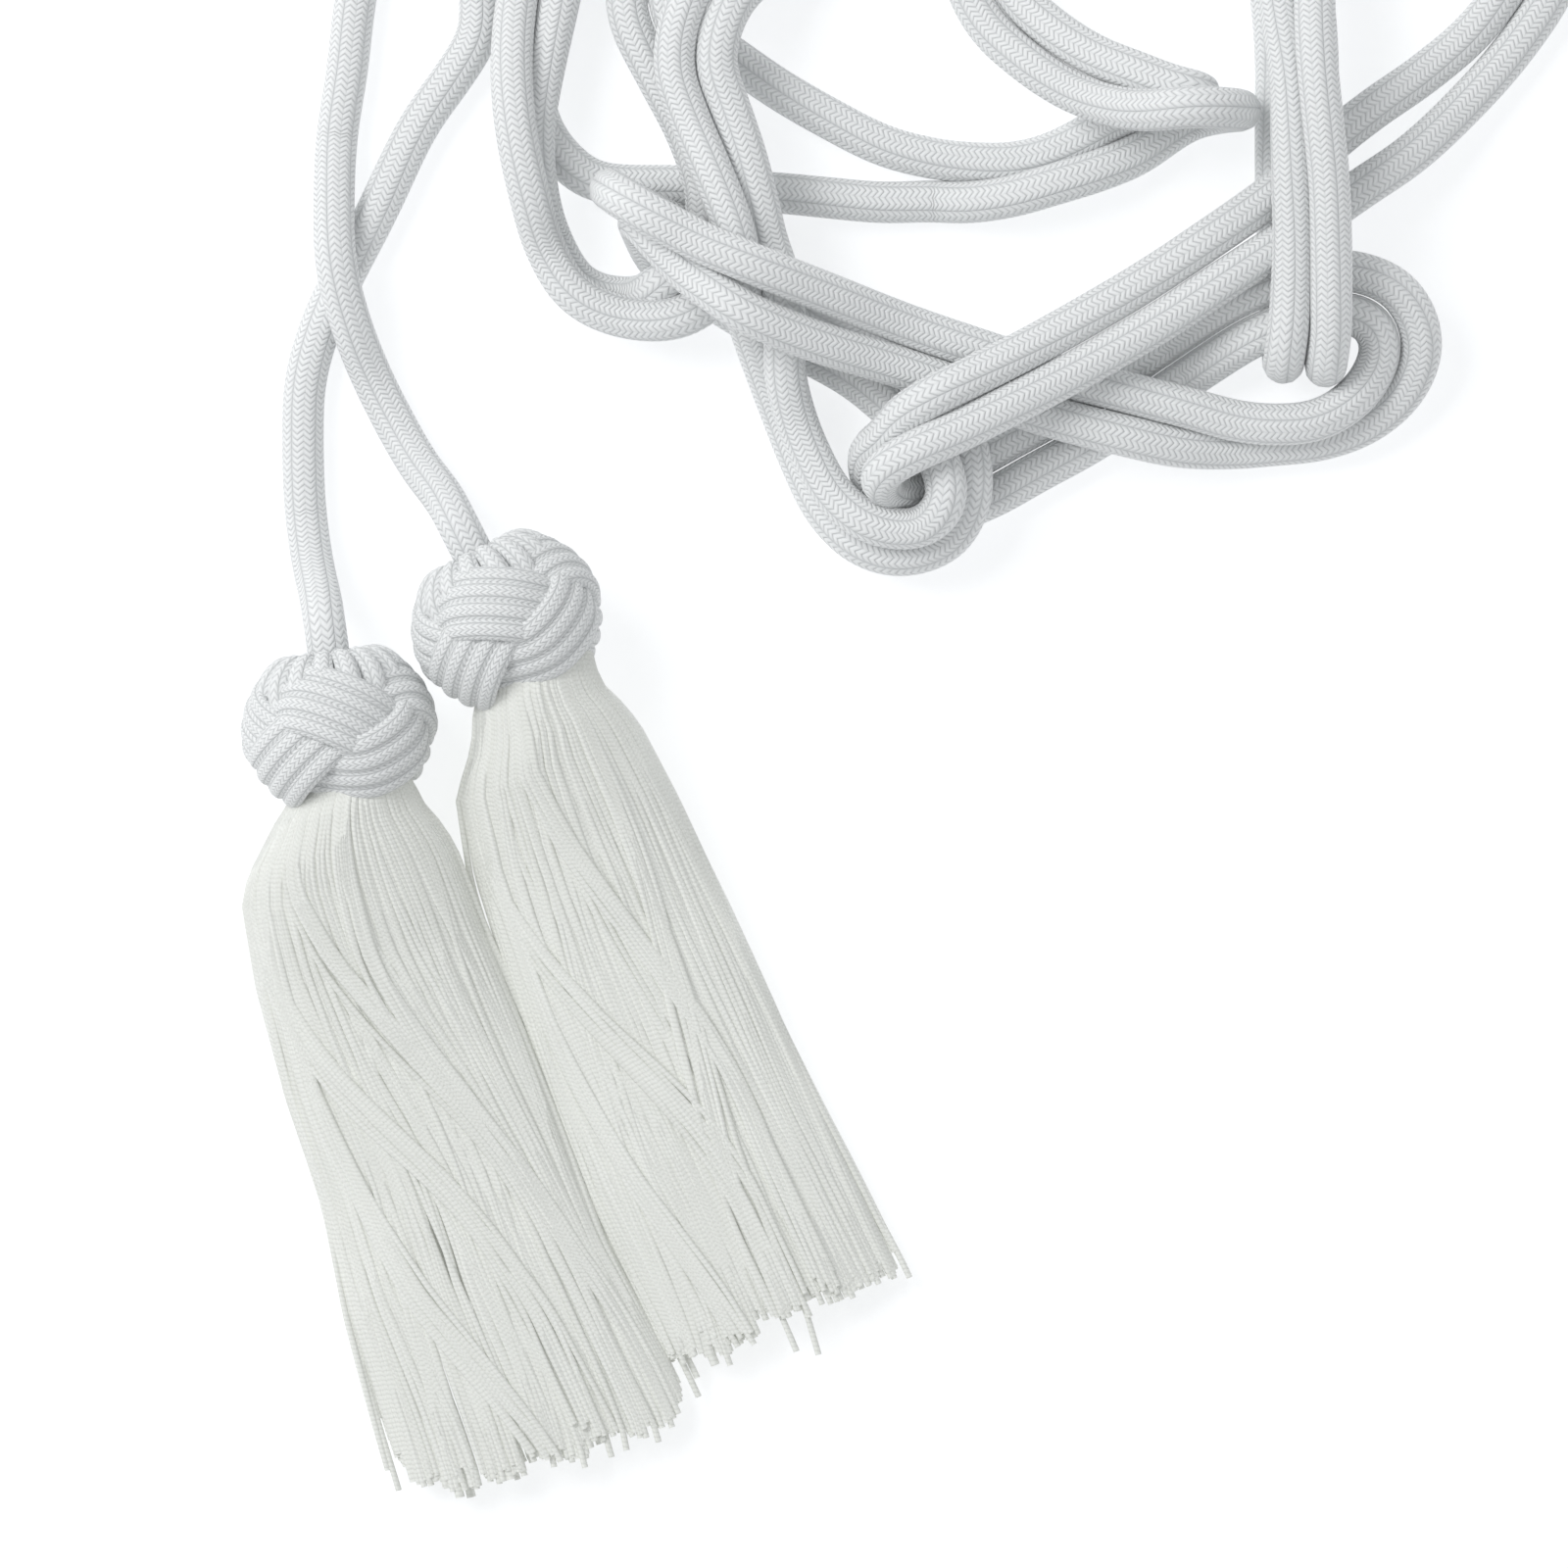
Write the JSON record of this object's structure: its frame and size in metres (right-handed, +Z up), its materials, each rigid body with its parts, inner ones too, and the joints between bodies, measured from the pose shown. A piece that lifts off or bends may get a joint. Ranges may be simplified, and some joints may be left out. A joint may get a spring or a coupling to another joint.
{
  "type": "cincture_cord",
  "caption": "White braided cincture cord, worn doubled round the waist, with a woven knot and a long fringe tassel at each end",
  "frame": {"origin": "On the table, below the middle of the box round the two tassels with their knots; the cord is left out of that box", "axes": "+X across the tassels, +Y from the fringes to the knots, +Z up from the table"},
  "size_m": [0.2758, 0.3696, 0.0386],
  "materials": {
    "cord_white": "matte braid",
    "knot_white": "matte knitted cord",
    "fringe_white": "matte twisted thread"
  },
  "bodies": {
    "root": {"cord": "cord_white", "left_knot": "knot_white", "right_knot": "knot_white", "left_tassel": "fringe_white", "right_tassel": "fringe_white"}
  },
  "joints": []
}
